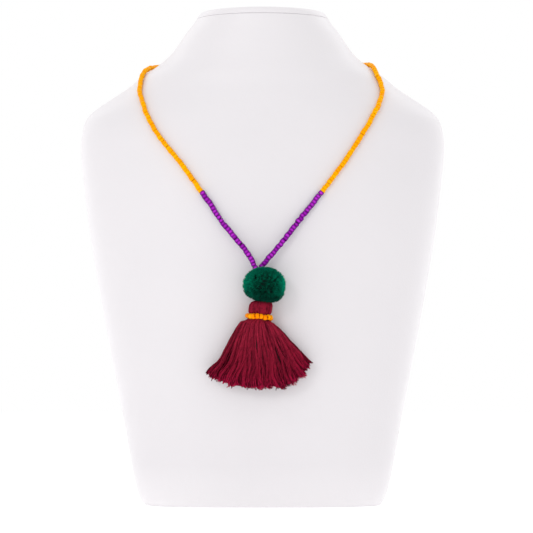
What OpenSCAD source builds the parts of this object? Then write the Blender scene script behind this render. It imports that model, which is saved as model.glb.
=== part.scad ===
// Tassel necklace on a neck bust.
// Two strands of seed beads run from a clasp at the nape, over the shoulders, to a pompom with a tassel.
// Up is +Z, the bust looks along -Y, and the origin is the middle of the face that it stands on.

/* [Bust] */
// Height of the bust, with its cap
bust_h = 334; // [280:1:400]
// Width across the shoulders
bust_w = 247; // [200:1:300]
// How far the chest stands in front of the shoulder line
chest_depth = 58; // [46:1:72]
// How far the back stands behind the shoulder line
back_depth = 44; // [34:1:60]
// Thickness of the cap on the neck
cap_t = 4.2; // [2:0.1:7]
// Thickness of the board let into the underside
board_t = 5; // [3:0.5:12]
// Distance from the lower edge of the bust in to the board
board_inset = 7; // [4:0.5:15]

/* [Strands] */
// Diameter of a strand of seed beads
bead_d = 3.1; // [2:0.1:4]
// Length of the barrel clasp at the nape
clasp_l = 12; // [8:0.5:20]
// Diameter of the barrel clasp
clasp_d = 4.6; // [3.5:0.1:7]

/* [Pompom] */
// Width of the pompom
pompom_w = 27.6; // [20:0.2:40]
// Height of the pompom
pompom_h = 23.8; // [16:0.2:34]
// Depth of the pompom, from the chest to its front
pompom_t = 25; // [16:0.2:36]
// How far the tassel's head is pressed up into the pompom
pompom_dent = 2; // [0.5:0.1:4]

/* [Tassel] */
// Width of the tied head
head_w = 15.2; // [13:0.2:24]
// Length of the head, from its top to the collar
head_l = 10.8; // [8:0.2:16]
// Diameter of the waist inside the collar
waist_d = 11.2; // [9:0.2:12.8]
// Length of the skirt, from the collar to its longest threads
skirt_l = 46; // [34:0.2:70]
// Width of the skirt across its tips
skirt_w = 70; // [40:0.5:90]
// Depth of the skirt
skirt_t = 16; // [14:0.5:24]
// Number of locks round the skirt
locks = 21; // [14:1:26]

/* [Fit] */
// Gap between neighbouring pieces
gap = 0.3; // [0.2:0.05:0.5]

/* [Hidden] */

bead_r = bead_d / 2;
form_h = bust_h - cap_t - gap;

// The bust's sections. Height and half width are shares of its own, depths are shares of the two
// depths, and the squareness is 2 for an ellipse and more for a flatter face with rounder corners.
UP = 0;
WIDE = 1;
FRONT = 2;
BACK = 3;
FRONT_SQUARE = 4;
BACK_SQUARE = 5;
bust_rows = [
    // up,   wide,  front, back, front_square, back_square
    [0.000, 0.645, 0.80, 0.90, 3.0, 4.5],
    [0.012, 0.668, 0.81, 0.92, 3.0, 4.5],
    [0.040, 0.694, 0.83, 0.94, 2.9, 4.5],
    [0.100, 0.727, 0.87, 0.96, 2.8, 4.5],
    [0.190, 0.770, 0.92, 0.98, 2.6, 4.5],
    [0.310, 0.834, 0.97, 1.00, 2.5, 4.5],
    [0.430, 0.895, 1.00, 1.00, 2.4, 4.5],
    [0.550, 0.950, 0.99, 0.99, 2.4, 4.3],
    [0.640, 0.981, 0.96, 0.97, 2.4, 4.0],
    [0.710, 1.000, 0.91, 0.95, 2.3, 3.8],
    [0.750, 0.996, 0.87, 0.93, 2.3, 3.5],
    [0.780, 0.974, 0.84, 0.91, 2.2, 3.2],
    [0.800, 0.925, 0.82, 0.90, 2.1, 2.9],
    [0.820, 0.848, 0.80, 0.89, 2.0, 2.7],
    [0.845, 0.745, 0.77, 0.88, 2.0, 2.5],
    [0.870, 0.664, 0.75, 0.87, 2.0, 2.3],
    [0.890, 0.583, 0.73, 0.86, 2.0, 2.2],
    [0.910, 0.518, 0.71, 0.85, 2.0, 2.1],
    [0.935, 0.465, 0.69, 0.84, 2.0, 2.1],
    [0.960, 0.420, 0.67, 0.83, 2.0, 2.1],
    [0.980, 0.377, 0.66, 0.82, 2.0, 2.1],
    [1.000, 0.345, 0.65, 0.81, 2.0, 2.1]];

// The strands' routes, chosen by hand. Each row is the angle round the bust from the nape, the height
// as a share of the bust's, and how far the strand is drawn off the chest, as a share of the pompom's
// half depth. Each leg ends at the pompom.
ROUND = 0;
RISE = 1;
OFF = 2;
nape = 0.90;
left_hang = 0.470;
right_hang = 0.474;
left_change = 18;
left_route = [
    [0, nape, 0], [25, 0.899, 0], [48, 0.896, 0], [66, 0.892, 0], [80, 0.888, 0], [90, 0.883, 0.015],
    [99, 0.876, 0.02], [105.5, 0.868, 0.015], [110.5, 0.860, 0.01], [114.8, 0.851, 0], [119.5, 0.841, 0],
    [125.2, 0.829, 0], [131.2, 0.815, 0], [137, 0.797, 0], [141.5, 0.773, 0], [145.8, 0.740, 0],
    [150.3, 0.708, 0], [154.7, 0.675, 0], [160.6, 0.623, 0], [163.5, 0.598, 0], [166.7, 0.566, 0.08],
    [169.6, 0.544, 0.18], [172.6, 0.521, 0.29], [175.3, 0.500, 0.39]];
right_change = 19;
right_route = [
    [0, nape, 0], [25, 0.900, 0], [48, 0.898, 0], [66, 0.896, 0], [80, 0.893, 0], [90, 0.890, 0.01],
    [100, 0.885, 0.015], [108, 0.878, 0.02], [113, 0.870, 0.015], [116.2, 0.862, 0], [118.6, 0.853, 0],
    [121.8, 0.843, 0], [126, 0.832, 0], [131, 0.820, 0], [137, 0.802, 0], [142.5, 0.778, 0],
    [147, 0.745, 0], [151.3, 0.708, 0], [154.9, 0.675, 0], [161.1, 0.623, 0], [164.3, 0.598, 0],
    [168.3, 0.566, 0.08], [171, 0.544, 0.18], [173.9, 0.520, 0.29], [177, 0.498, 0.39]];

// Where the drop hangs: the strands' meeting point, and how far each piece lies beside it.
strands_x = -2.5;
hang_off = 0.50;
pompom_aside = 0.132;
head_aside = 0.097;
collar_aside = 0.032;
collar_tilt = 5;

// Rows of the tied head, from its top to the waist, and of the skirt, from the waist to the tips.
// Widths and depths are shares of the head's and the skirt's own, aside is a share of half the width.
head_rows = [
    // down, wide
    [0.00, 0.30], [0.05, 0.64], [0.13, 0.85], [0.26, 0.97], [0.46, 1.00], [0.68, 0.99], [0.77, 0.93]];
DOWN = 0;
DEEP = 2;
ASIDE = 3;
skirt_rows = [
    // down, wide, deep, aside
    [0.02, 0.262, 0.84, -0.037], [0.05, 0.310, 0.88, -0.037], [0.12, 0.371, 0.95, -0.035],
    [0.22, 0.448, 0.99, -0.034], [0.34, 0.525, 1.00, -0.030], [0.47, 0.603, 0.99, -0.018],
    [0.60, 0.696, 0.98, -0.009], [0.72, 0.782, 0.96, -0.004], [0.84, 0.883, 0.93, -0.020],
    [0.94, 0.950, 0.89, -0.014], [1.00, 0.980, 0.84, 0.005]];
left_lift = 0.195;
right_lift = 0.37;
left_lift_power = 2.6;
right_lift_power = 4;
lock_relief = 0.10;
lock_ragged = 0.025;
lock_points = 4;

// The locks sway a few times round the skirt, and are shallower on the head and at the skirt's top.
lock_sway = 8;
sway_waves = 3;
sway_start = 40;
head_relief = 0.35;
top_relief = 0.4;

// Down to these shares of the skirt it leans out to the waist, and follows the collar's tilt.
lean_end = 0.35;
tilt_end = 0.33;

// The tips are cut upwards into the skirt: how wide the cut's roof is, and how far it and its middle rise.
roof_wide = 0.6;
roof_rise = 0.03;
roof_middle = 0.05;

// Smooth curve through a table's column, with the slope at a row taken from its two neighbours.
function slope(rows, c, i) =
    let (a = max(i - 1, 0), b = min(i + 1, len(rows) - 1))
    (rows[b][c] - rows[a][c]) / (rows[b][0] - rows[a][0]);
function hermite(p, q, m, n, t) =
    p * (1 + 2 * t) * pow(1 - t, 2) + m * t * pow(1 - t, 2)
    + q * t * t * (3 - 2 * t) + n * t * t * (t - 1);
function row_below(rows, s) = max([for (i = [0 : len(rows) - 2]) rows[i][0] <= s ? i : 0]);
function smooth(rows, c, s) =
    let (i = row_below(rows, s), h = rows[i + 1][0] - rows[i][0])
    hermite(rows[i][c], rows[i + 1][c], h * slope(rows, c, i), h * slope(rows, c, i + 1),
        (s - rows[i][0]) / h);

// A point on the bust: turn is the angle round it from its right shoulder, up a share of its height.
function half_width(up) = bust_w / 2 * smooth(bust_rows, WIDE, up);
function depth(turn, up) =
    sin(turn) < 0 ? chest_depth * smooth(bust_rows, FRONT, up)
    : back_depth * smooth(bust_rows, BACK, up);
function oval(turn, a, b, n) =
    [a * cos(turn), sign(sin(turn)) * b * pow(max(0, 1 - pow(abs(cos(turn)), n)), 1 / n)];
function section(turn, up, inset = 0) =
    oval(turn, half_width(up) - inset, depth(turn, up) - inset,
        smooth(bust_rows, sin(turn) < 0 ? FRONT_SQUARE : BACK_SQUARE, up));
function on_bust(turn, up) = concat(section(turn, up), bust_h * up);
function unit(v) = v / norm(v);
step_round = 1;
step_up = 0.002;
function outward(turn, up) =
    unit(cross(on_bust(turn + step_round, up) - on_bust(turn - step_round, up),
        on_bust(turn, up + step_up) - on_bust(turn, up - step_up)));
function turn_at(x, up) = 360 - acos(x / half_width(up));
function chest_y(z) = -chest_depth * smooth(bust_rows, FRONT, z / bust_h);

// Closed solid through rings of points that run the same way round, with a fan over each end.
module loft(rings, low_end, high_end) {
    n = len(rings[0]);
    m = len(rings);
    points = concat([for (r = rings) for (p = r) p], [low_end, high_end]);
    walls = [for (i = [0 : m - 2]) for (j = [0 : n - 1])
        let (k = (j + 1) % n, a = i * n + j, b = i * n + k, c = a + n, d = b + n)
        each [[a, c, b], [b, c, d]]];
    low = [for (j = [0 : n - 1]) [m * n, j, (j + 1) % n]];
    high = [for (j = [0 : n - 1]) [m * n + 1, (m - 1) * n + (j + 1) % n, (m - 1) * n + j]];
    polyhedron(points = points, faces = concat(walls, low, high));
}

// The bust's own shape, with a recess for the board in its underside.
bust_sides = 56;
bust_turns = [for (j = [0 : bust_sides - 1]) 360 * j / bust_sides];
function level(up, inset, z) = [for (t = bust_turns) concat(section(t, up, inset), z)];
steps_per_row = 2;
least_step = 0.004;
form_heights = [for (i = [0 : len(bust_rows) - 2]) for (k = [0 : steps_per_row - 1])
    bust_rows[i][UP] + (bust_rows[i + 1][UP] - bust_rows[i][UP]) * k / steps_per_row];
module bust_form() {
    roof = board_t + gap;
    top = form_h / bust_h;
    color("whitesmoke")
        loft(concat(
                [level(0, board_inset, roof), level(0, board_inset, 0)],
                [for (up = form_heights) if (up < top - least_step) level(up, 0, bust_h * up)],
                [level(top, 0, form_h)]),
            [0, 0, roof], [0, 0, form_h]);
}

module bust_cap() {
    // up through the cap's own thickness, and how far its edge stands in there, as a share of it
    edge = [[0, 0.08], [0.14, 0], [0.6, 0], [0.88, 0.14], [1, 0.4]];
    color("whitesmoke")
        loft([for (e = edge) let (z = form_h + gap + e[0] * cap_t) level(z / bust_h, e[1] * cap_t, z)],
            [0, 0, form_h + gap], [0, 0, bust_h]);
}

module bust_board() {
    color("gainsboro")
        linear_extrude(board_t)
            polygon([for (t = bust_turns) section(t, 0, board_inset + gap)]);
}

// A strand's place for a position along its route, counted in rows, with fractions between them.
function leg_end(side, up) =
    let (x = strands_x + side * (bead_d + gap) / 2)
    [side * (90 - turn_at(x, up)) + (side > 0 ? 360 : 0), up, hang_off];
left_leg = concat(left_route, [leg_end(-1, left_hang)]);
right_leg = concat(right_route, [leg_end(1, right_hang)]);
function row_at(rows, k) = rows[max(0, min(len(rows) - 1, k))];
function along(rows, k) =
    let (i = min(floor(k), len(rows) - 2), t = k - i,
        a = row_at(rows, i), b = row_at(rows, i + 1),
        m = (b - row_at(rows, i - 1)) / 2, n = (row_at(rows, i + 2) - a) / 2)
    [for (c = [ROUND, RISE, OFF]) hermite(a[c], b[c], m[c], n[c], t)];
function clasp_lift(k) = (clasp_d - bead_d) / 2 * max(0, 1 - k);
function strand_point(rows, side, k) =
    let (r = along(rows, k), turn = 90 - side * r[ROUND],
        off = bead_r + gap + r[OFF] * (pompom_t / 2 - bead_r) + clasp_lift(k))
    on_bust(turn, r[RISE]) + off * outward(turn, r[RISE]);

// Length along a strand, as pairs of length and position, and the tube round it.
fine = 8;
function lengths(points, i = 0, run = 0) =
    i >= len(points) - 1 ? [run]
    : concat([run], lengths(points, i + 1, run + norm(points[i + 1] - points[i])));
function length_table(rows, side) =
    let (ks = [for (k = [0 : (len(rows) - 1) * fine]) k / fine],
        runs = lengths([for (k = ks) strand_point(rows, side, k)]))
    [for (i = [0 : len(ks) - 1]) [runs[i], ks[i]]];
tube_sides = 8;
ring_spacing = 2.6;
module strand(rows, side, from, to) {
    table = length_table(rows, side);
    rings = ceil((to - from) / (ring_spacing * bead_d));
    places = [for (i = [0 : rings]) strand_point(rows, side, lookup(from + (to - from) * i / rings, table))];
    circles = [for (i = [0 : rings])
        let (ahead = unit(places[min(rings, i + 1)] - places[max(0, i - 1)]),
            across = unit(cross(ahead, [0, 0, 1])), above = cross(across, ahead))
        [for (j = [0 : tube_sides - 1]) let (a = 360 * (j + 0.5) / tube_sides)
            places[i] + bead_r * (cos(a) * above + sin(a) * across)]];
    loft(circles, places[0], places[rings]);
}
function run_to(rows, side, k) = lookup(k, [for (p = length_table(rows, side)) [p[1], p[0]]]);
module orange_part(rows, side, change) {
    color("orange")
        strand(rows, side, clasp_l / 2 + gap, run_to(rows, side, change) - gap / 2);
}
module purple_part(rows, side, change) {
    color("purple")
        strand(rows, side, run_to(rows, side, change) + gap / 2, run_to(rows, side, len(rows) - 1));
}
module orange_strand_left() { orange_part(left_leg, -1, left_change); }
module orange_strand_right() { orange_part(right_leg, 1, right_change); }
module purple_strand_left() { purple_part(left_leg, -1, left_change); }
module purple_strand_right() { purple_part(right_leg, 1, right_change); }

// A barrel clasp: two rounded ends and a raised middle band. Rows are shares of half its length and
// of its radius.
clasp_rows = [
    // along, wide
    [-1.0, 0.00], [-1.0, 0.55], [-0.8, 0.85], [-0.2, 0.85], [-0.2, 1.00],
    [0.2, 1.00], [0.2, 0.85], [0.8, 0.85], [1.0, 0.55], [1.0, 0.00]];
module clasp() {
    r = clasp_d / 2;
    color("silver")
        translate(on_bust(90, nape) + (r + gap) * outward(90, nape))
            rotate([0, 90, 0])
                rotate_extrude($fn = 32)
                    polygon([for (c = clasp_rows) [r * c[1], clasp_l / 2 * c[0]]]);
}

// The pompom hangs just under the strands' ends, against the chest. Its lower half is fuller, and
// its underside is pressed flat by the tassel's head.
strand_sink = 0.8;
hang_z = bust_h * right_hang;
pompom_x = strands_x + pompom_aside * pompom_w;
pompom_y = chest_y(hang_z - pompom_h / 2) - gap - pompom_t / 2;
strand_end_y = chest_y(hang_z) - gap - bead_r - hang_off * (pompom_t / 2 - bead_r);
pompom_shoulder = pompom_h / 2 * sqrt(1 - pow((pompom_x - strands_x) / (pompom_w / 2), 2)
    - pow((strand_end_y - pompom_y) / (pompom_t / 2), 2));
pompom_z = hang_z - strand_sink * bead_r - gap - pompom_shoulder;
pompom_flat = pompom_h / 2 - pompom_dent;
tufts = 8;
tuft_depth = 0.07;
pompom_sides = 5 * tufts;
pompom_levels = 21;
upper_square = 2;
lower_square = 2.3;
function tuft(turn, rise) = 1 - tuft_depth * (0.5 - 0.5 * cos(tufts * turn) * cos(tufts * rise));
function squared(v, n) = sign(v) * pow(abs(v), 2 / n);
module pompom() {
    rings = [for (i = [1 : pompom_levels - 1])
        let (rise = 180 * i / pompom_levels - 90, n = rise < 0 ? lower_square : upper_square,
            out = squared(cos(rise), n), up = squared(sin(rise), n))
        [for (j = [0 : pompom_sides - 1]) let (turn = 360 * j / pompom_sides, f = tuft(turn, rise))
            [f * pompom_w / 2 * out * cos(turn), f * pompom_t / 2 * out * sin(turn),
                max(f * pompom_h / 2 * up, -pompom_flat)]]];
    color("darkgreen")
        translate([pompom_x, pompom_y, pompom_z])
            loft(rings, [0, 0, -pompom_flat], [0, 0, pompom_h / 2 * (1 - tuft_depth / 2)]);
}

// The collar is a ring of beads round the waist, tilted down to the right.
head_top = pompom_z - pompom_flat - gap;
collar_z = head_top - head_l;
collar_r = waist_d / 2 + gap + bead_r;
collar_x = strands_x + collar_aside * head_w;
collar_y = chest_y(collar_z) - gap - bead_r - collar_r;
module bead_collar() {
    color("orange")
        translate([collar_x, collar_y, collar_z])
            rotate([0, collar_tilt, 0])
                rotate_extrude($fn = 48)
                    translate([collar_r, 0])
                        circle(bead_r, $fn = 24);
}

// The tassel: a tied head, a waist inside the collar, and a skirt that spreads over the chest.
tassel_sides = locks * lock_points;
function lock_angle(turn) = locks * turn + lock_sway * sin(sway_waves * turn + sway_start);
function lock(turn, share) = 1 - share * lock_relief * (0.5 - 0.5 * cos(lock_angle(turn)));
function tilt_at(x, fade) = -x * tan(collar_tilt) * fade;
function round_ring(x, r, z, tilt, relief) =
    [for (j = [0 : tassel_sides - 1]) let (t = 360 * j / tassel_sides, f = lock(t, relief))
        [x + f * r * cos(t), collar_y + f * r * sin(t), z + tilt_at(r * cos(t), tilt)]];
skirt_top = collar_z - bead_r - gap;
skirt_drop = skirt_l - (collar_z - skirt_top);
free_back = collar_r + bead_r - waist_d / 2;
function lift(q, down) =
    skirt_l * down * (q < 0 ? left_lift * pow(-q, left_lift_power) : right_lift * pow(q, right_lift_power));
function skirt_y(z, deep, down) =
    chest_y(z) - gap - deep - free_back * pow(max(0, 1 - down / lean_end), 2);
function skirt_ring(row, shrink = 1, raise = 0) =
    let (down = row[DOWN], z = skirt_top - skirt_drop * down,
        wide = skirt_w / 2 * row[WIDE], deep = skirt_t / 2 * row[DEEP],
        x = collar_x + skirt_w / 2 * row[ASIDE], y = skirt_y(z, deep, down))
    [for (j = [0 : tassel_sides - 1])
        let (t = 360 * j / tassel_sides, q = cos(t),
            f = shrink * lock(t, top_relief + (1 - top_relief) * down))
        [x + f * wide * q, y + f * deep * sin(t),
            z + lift(q, down) * shrink + tilt_at(wide * q, max(0, 1 - down / tilt_end)) + raise
            - skirt_l * lock_ragged * pow(down, 3) * cos(lock_angle(t))]];
module tassel() {
    head_x = strands_x + head_aside * head_w;
    waist_half = bead_r + gap;
    head_rings = [for (h = head_rows)
        round_ring(head_x + (collar_x - head_x) * h[DOWN], head_w / 2 * h[WIDE],
            head_top - head_l * h[DOWN], h[DOWN] * h[DOWN], head_relief)];
    waist_rings = [for (side = [1, -1])
        round_ring(collar_x, waist_d / 2, collar_z + side * waist_half, 1, 0)];
    skirt_rings = [for (row = skirt_rows) skirt_ring(row)];
    tips = skirt_rows[len(skirt_rows) - 1];
    roof = skirt_ring(tips, roof_wide, skirt_l * roof_rise);
    rings = concat(head_rings, waist_rings, skirt_rings, [roof]);
    color("maroon")
        loft([for (i = [len(rings) - 1 : -1 : 0]) rings[i]],
            [collar_x, roof[0][1], skirt_top - skirt_drop + skirt_l * roof_middle],
            [head_x, collar_y, head_top]);
}

bust_form();
bust_cap();
bust_board();
clasp();
orange_strand_left();
orange_strand_right();
purple_strand_left();
purple_strand_right();
pompom();
tassel();
bead_collar();
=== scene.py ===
# %% [markdown]
# A tassel necklace on a neck bust.
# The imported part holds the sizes: a bust, two coloured strands, a pompom, a tassel and a ring of beads.
# Here each plain solid gets the surface of the real thing. The bust is leatherette stretched over a
# form, the strands are glass seed beads on a thread, the pompom is cut yarn and the tassel is cotton.

import math
from functools import partialmethod

import bpy
import numpy as np
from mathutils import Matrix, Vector


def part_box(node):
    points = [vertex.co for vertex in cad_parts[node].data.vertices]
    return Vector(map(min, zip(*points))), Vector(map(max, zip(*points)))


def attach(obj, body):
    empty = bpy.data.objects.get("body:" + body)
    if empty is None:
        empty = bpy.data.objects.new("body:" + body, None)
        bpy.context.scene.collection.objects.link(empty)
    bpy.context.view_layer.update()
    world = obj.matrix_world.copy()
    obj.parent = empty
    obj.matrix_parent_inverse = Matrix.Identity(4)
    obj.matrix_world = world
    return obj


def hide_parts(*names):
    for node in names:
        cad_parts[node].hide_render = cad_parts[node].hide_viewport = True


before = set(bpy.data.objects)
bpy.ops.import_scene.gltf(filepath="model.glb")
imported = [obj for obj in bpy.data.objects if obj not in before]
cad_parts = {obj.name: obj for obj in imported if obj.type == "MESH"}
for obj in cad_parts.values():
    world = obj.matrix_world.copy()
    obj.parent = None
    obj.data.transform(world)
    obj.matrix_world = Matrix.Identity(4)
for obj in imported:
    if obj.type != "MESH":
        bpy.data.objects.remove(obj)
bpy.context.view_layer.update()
MM = 0.001


def box_mm(node):
    """Lowest and highest corner of a node of the part, in millimetres."""
    low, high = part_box(node)
    return np.array(low) / MM, np.array(high) / MM


print("nodes:", ", ".join(sorted(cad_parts)))

# %% [markdown]
# Node trees can be written as Python. A node's output is wrapped in a small class whose operators add
# Math nodes, so that a pattern reads as a formula. Every other node comes from one method, which takes
# its type, what goes into its sockets and its settings. The same wrapper serves materials and shapes.


# %% Nodes written as formulas
class Value:
    """An output of a node. Sums and products of values become Math nodes."""

    def __init__(self, net, socket):
        self.net, self.socket = net, socket

    def math(self, operation, *others, first=True):
        parts = (self, *others) if first else (*others, self)
        return self.net.add("ShaderNodeMath", dict(enumerate(parts)), operation=operation)

    __add__ = __radd__ = partialmethod(math, "ADD")
    __mul__ = __rmul__ = partialmethod(math, "MULTIPLY")
    __sub__ = partialmethod(math, "SUBTRACT")
    __rsub__ = partialmethod(math, "SUBTRACT", first=False)
    __truediv__ = partialmethod(math, "DIVIDE")
    __pow__ = partialmethod(math, "POWER")

    def also(self, name):
        """Another output of the same node."""
        return Value(self.net, pick(self.socket.node.outputs, name))


def pick(sockets, key):
    """The socket with that number, or the shown one with that name."""
    if isinstance(key, int):
        return sockets[key]
    return next(socket for socket in sockets if socket.name == key and socket.enabled)


class Net:
    """A node tree that grows by one call for each node."""

    def __init__(self, tree):
        self.tree = tree
        tree.nodes.clear()

    def add(self, kind, sockets=None, out=0, **settings):
        node = self.tree.nodes.new(kind)
        for name, value in settings.items():
            setattr(node, name, value)
        for key, value in (sockets or {}).items():
            target = pick(node.inputs, key)
            if isinstance(value, Value):
                self.tree.links.new(value.socket, target)
            elif target.type == "RGBA" and len(value) == 3:
                target.default_value = (*value, 1)
            else:
                target.default_value = value
        return Value(self, pick(node.outputs, out)) if node.outputs else None

    def place(self, *stretch):
        """Where a point lies on the piece, stretched along X, Y and Z if that is given."""
        place = self.add("ShaderNodeTexCoord", out="Object")
        if not stretch:
            return place
        return self.add("ShaderNodeMapping", {"Vector": place, "Scale": stretch})

    def blend(self, share, low, high):
        """A colour between two, by a share from 0 to 1."""
        return self.add("ShaderNodeMix", {0: share, 6: low, 7: high}, out=2, data_type="RGBA")

    def ramp(self, value, start, end, high):
        """Rises from 0 to high while a value goes from start to end."""
        return self.add("ShaderNodeMapRange", {0: value, 1: start, 2: end, 3: 0.0, 4: high})

    def vector(self, operation, *parts, out=0):
        return self.add("ShaderNodeVectorMath", dict(enumerate(parts)), out, operation=operation)

    def split(self, vector):
        """The X of a vector, whose node also has Y and Z."""
        return self.add("ShaderNodeSeparateXYZ", {0: vector})

    def join(self, **parts):
        """A vector from its X, Y and Z."""
        return self.add("ShaderNodeCombineXYZ", parts)


def empty_net(owner):
    """The cleared node tree of a material or a world."""
    owner.use_nodes = True
    return Net(owner.node_tree)


def put(name, data):
    """A new object at the origin of the scene."""
    obj = bpy.data.objects.new(name, data)
    bpy.context.scene.collection.objects.link(obj)
    return obj


print("helpers ready")

# %% [markdown]
# The photograph was taken from the front with a long lens, a little below the middle of the bust: the
# bottom edge looks straight and the rim of the neck arches up. A real camera at 1.8 m with a lens that
# shows 0.68 mm of the shoulder line in each pixel gives the same view. It tilts up by two degrees.

# %% Camera
PICTURE = 533
MM_PER_PIXEL = 0.68
SENSOR = 36
CAMERA_DISTANCE = 1800
CAMERA_HEIGHT = 90
CAMERA_ASIDE = 2.7
CAMERA_TILT = 2.265

camera = put("camera", bpy.data.cameras.new("camera"))
camera.data.sensor_width = SENSOR
camera.data.lens = SENSOR * CAMERA_DISTANCE / MM_PER_PIXEL / PICTURE
camera.location = (CAMERA_ASIDE * MM, -CAMERA_DISTANCE * MM, CAMERA_HEIGHT * MM)
camera.rotation_euler = (math.radians(90 + CAMERA_TILT), 0, 0)
bpy.context.scene.camera = camera
bpy.context.scene.view_settings.view_transform = "Standard"
print("lens", round(camera.data.lens, 1), "mm")

# %% [markdown]
# The set is a white table in a light tent. The tent gives most of the light, and a lamp a little to the
# left of the camera and above it gives the short shadows their direction. Soft panels stand above, at
# the sides and high up behind, so that the edges of the bust fade into the white. The floor glows a
# little, as an overexposed table does, so that it meets the white behind it unseen.

# %% Light and floor
SKY_LIGHT = 0.77
LAMPS = {
    # name: place in metres, size in metres, watts
    "key": ((-0.8, -1.5, 0.8), 0.4, 3.6),
    "front_panel": ((0.0, -1.75, 0.5), 1.6, 1.4),
    "top_panel": ((0.0, 0.1, 1.6), 1.2, 3.6),
    "left_side": ((-1.0, 0.8, 0.45), 0.9, 1.9),
    "right_side": ((1.0, 0.7, 0.45), 0.9, 2),
    "left_back": ((-0.8, 0.6, 1.1), 0.6, 1.5),
    "right_back": ((0.8, 0.6, 1.1), 0.6, 2),
}
LAMP_AIM = (0, -0.05, 0.17)
FLOOR_WHITE = (0.9, 0.9, 0.9)
FLOOR_GLOW = 0.32
FLOOR_SIZE = 8


def set_world():
    """White to the camera, and a softer white as light."""
    world = bpy.data.worlds.new("tent")
    bpy.context.scene.world = world
    net = empty_net(world)
    seen = net.add("ShaderNodeLightPath")
    strength = seen * (1 - SKY_LIGHT) + SKY_LIGHT
    tent = net.add("ShaderNodeBackground", {"Color": (1, 1, 1), "Strength": strength})
    net.add("ShaderNodeOutputWorld", {"Surface": tent})


def add_lamp(name, place, size, power):
    """A square soft lamp that looks at the chest."""
    lamp = put(name, bpy.data.lights.new(name, "AREA"))
    lamp.data.size = size
    lamp.data.energy = power
    lamp.location = place
    aim = Vector(LAMP_AIM) - lamp.location
    lamp.rotation_euler = aim.to_track_quat("-Z", "Y").to_euler()


def add_floor():
    """A plain white floor that the bust stands on."""
    half = FLOOR_SIZE / 2
    corners = [(-half, -half, 0), (half, -half, 0), (half, half, 0), (-half, half, 0)]
    mesh = bpy.data.meshes.new("floor")
    mesh.from_pydata(corners, [], [(0, 1, 2, 3)])
    floor = put("floor", mesh)
    paint = bpy.data.materials.new("white_table")
    net = empty_net(paint)
    matt = net.add("ShaderNodeBsdfDiffuse", {"Color": FLOOR_WHITE})
    glow = net.add("ShaderNodeEmission", {"Color": (1, 1, 1), "Strength": FLOOR_GLOW})
    both = net.add("ShaderNodeAddShader", {0: matt, 1: glow})
    net.add("ShaderNodeOutputMaterial", {"Surface": both})
    mesh.materials.append(paint)


set_world()
for name, (place, size, power) in LAMPS.items():
    add_lamp(name, place, size, power)
add_floor()
print("white set with lamps:", ", ".join(LAMPS))

# %% [markdown]
# A finish is a Principled shader whose changing sockets are formulas. Each finish below is a short
# function that takes an empty net and returns what goes into the shader.


# %% Making a finish
def finish(name, recipe):
    """A material whose Principled shader gets what the recipe returns."""
    material = bpy.data.materials.new(name)
    net = empty_net(material)
    shader = net.add("ShaderNodeBsdfPrincipled", recipe(net))
    net.add("ShaderNodeOutputMaterial", {"Surface": shader})
    return material


def noise(net, place, scale, detail=2.0):
    """Soft noise from 0 to 1, with so many bumps a metre."""
    return net.add("ShaderNodeTexNoise", {"Vector": place, "Scale": scale, "Detail": detail})


def bump(net, height, distance):
    """A surface raised by that many metres where the height is 1."""
    return net.add("ShaderNodeBump", {"Height": height, "Distance": distance})


def numbers(net, *names):
    """Numbers stored on the mesh under these names."""
    return [net.add("ShaderNodeAttribute", out="Fac", attribute_name=name) for name in names]


print("finish helpers ready")

# %% [markdown]
# The bust is a smooth form: a round neck that spreads into sloping shoulders, a chest that is fullest
# below the middle and a body that narrows to its foot. The part describes it as a table of level
# sections. The same table and the same curve through it, followed closely enough that no facet shows,
# keep the cover exactly where the solid is.

# %% The bust's sections
CAP_HIGH = box_mm("bust_cap")[1][2]
CAP_LOW = box_mm("bust_cap")[0][2]
FORM_HIGH = box_mm("bust_form")[1][2]
BUST_WIDTH = 247
CHEST_DEPTH = 58
BACK_DEPTH = 44
GAP = 0.3
BUST_ROWS = np.array([
    # up, wide, front, back, front square, back square
    [0.000, 0.645, 0.80, 0.90, 3.0, 4.5],
    [0.012, 0.668, 0.81, 0.92, 3.0, 4.5],
    [0.040, 0.694, 0.83, 0.94, 2.9, 4.5],
    [0.100, 0.727, 0.87, 0.96, 2.8, 4.5],
    [0.190, 0.770, 0.92, 0.98, 2.6, 4.5],
    [0.310, 0.834, 0.97, 1.00, 2.5, 4.5],
    [0.430, 0.895, 1.00, 1.00, 2.4, 4.5],
    [0.550, 0.950, 0.99, 0.99, 2.4, 4.3],
    [0.640, 0.981, 0.96, 0.97, 2.4, 4.0],
    [0.710, 1.000, 0.91, 0.95, 2.3, 3.8],
    [0.750, 0.996, 0.87, 0.93, 2.3, 3.5],
    [0.780, 0.974, 0.84, 0.91, 2.2, 3.2],
    [0.800, 0.925, 0.82, 0.90, 2.1, 2.9],
    [0.820, 0.848, 0.80, 0.89, 2.0, 2.7],
    [0.845, 0.745, 0.77, 0.88, 2.0, 2.5],
    [0.870, 0.664, 0.75, 0.87, 2.0, 2.3],
    [0.890, 0.583, 0.73, 0.86, 2.0, 2.2],
    [0.910, 0.518, 0.71, 0.85, 2.0, 2.1],
    [0.935, 0.465, 0.69, 0.84, 2.0, 2.1],
    [0.960, 0.420, 0.67, 0.83, 2.0, 2.1],
    [0.980, 0.377, 0.66, 0.82, 2.0, 2.1],
    [1.000, 0.345, 0.65, 0.81, 2.0, 2.1],
])


def hermite(start, end, leave, arrive, t):
    """Smooth step between two values with given slopes."""
    return (
        start * (1 + 2 * t) * (1 - t) ** 2
        + leave * t * (1 - t) ** 2
        + end * t * t * (3 - 2 * t)
        + arrive * t * t * (t - 1)
    )


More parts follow.
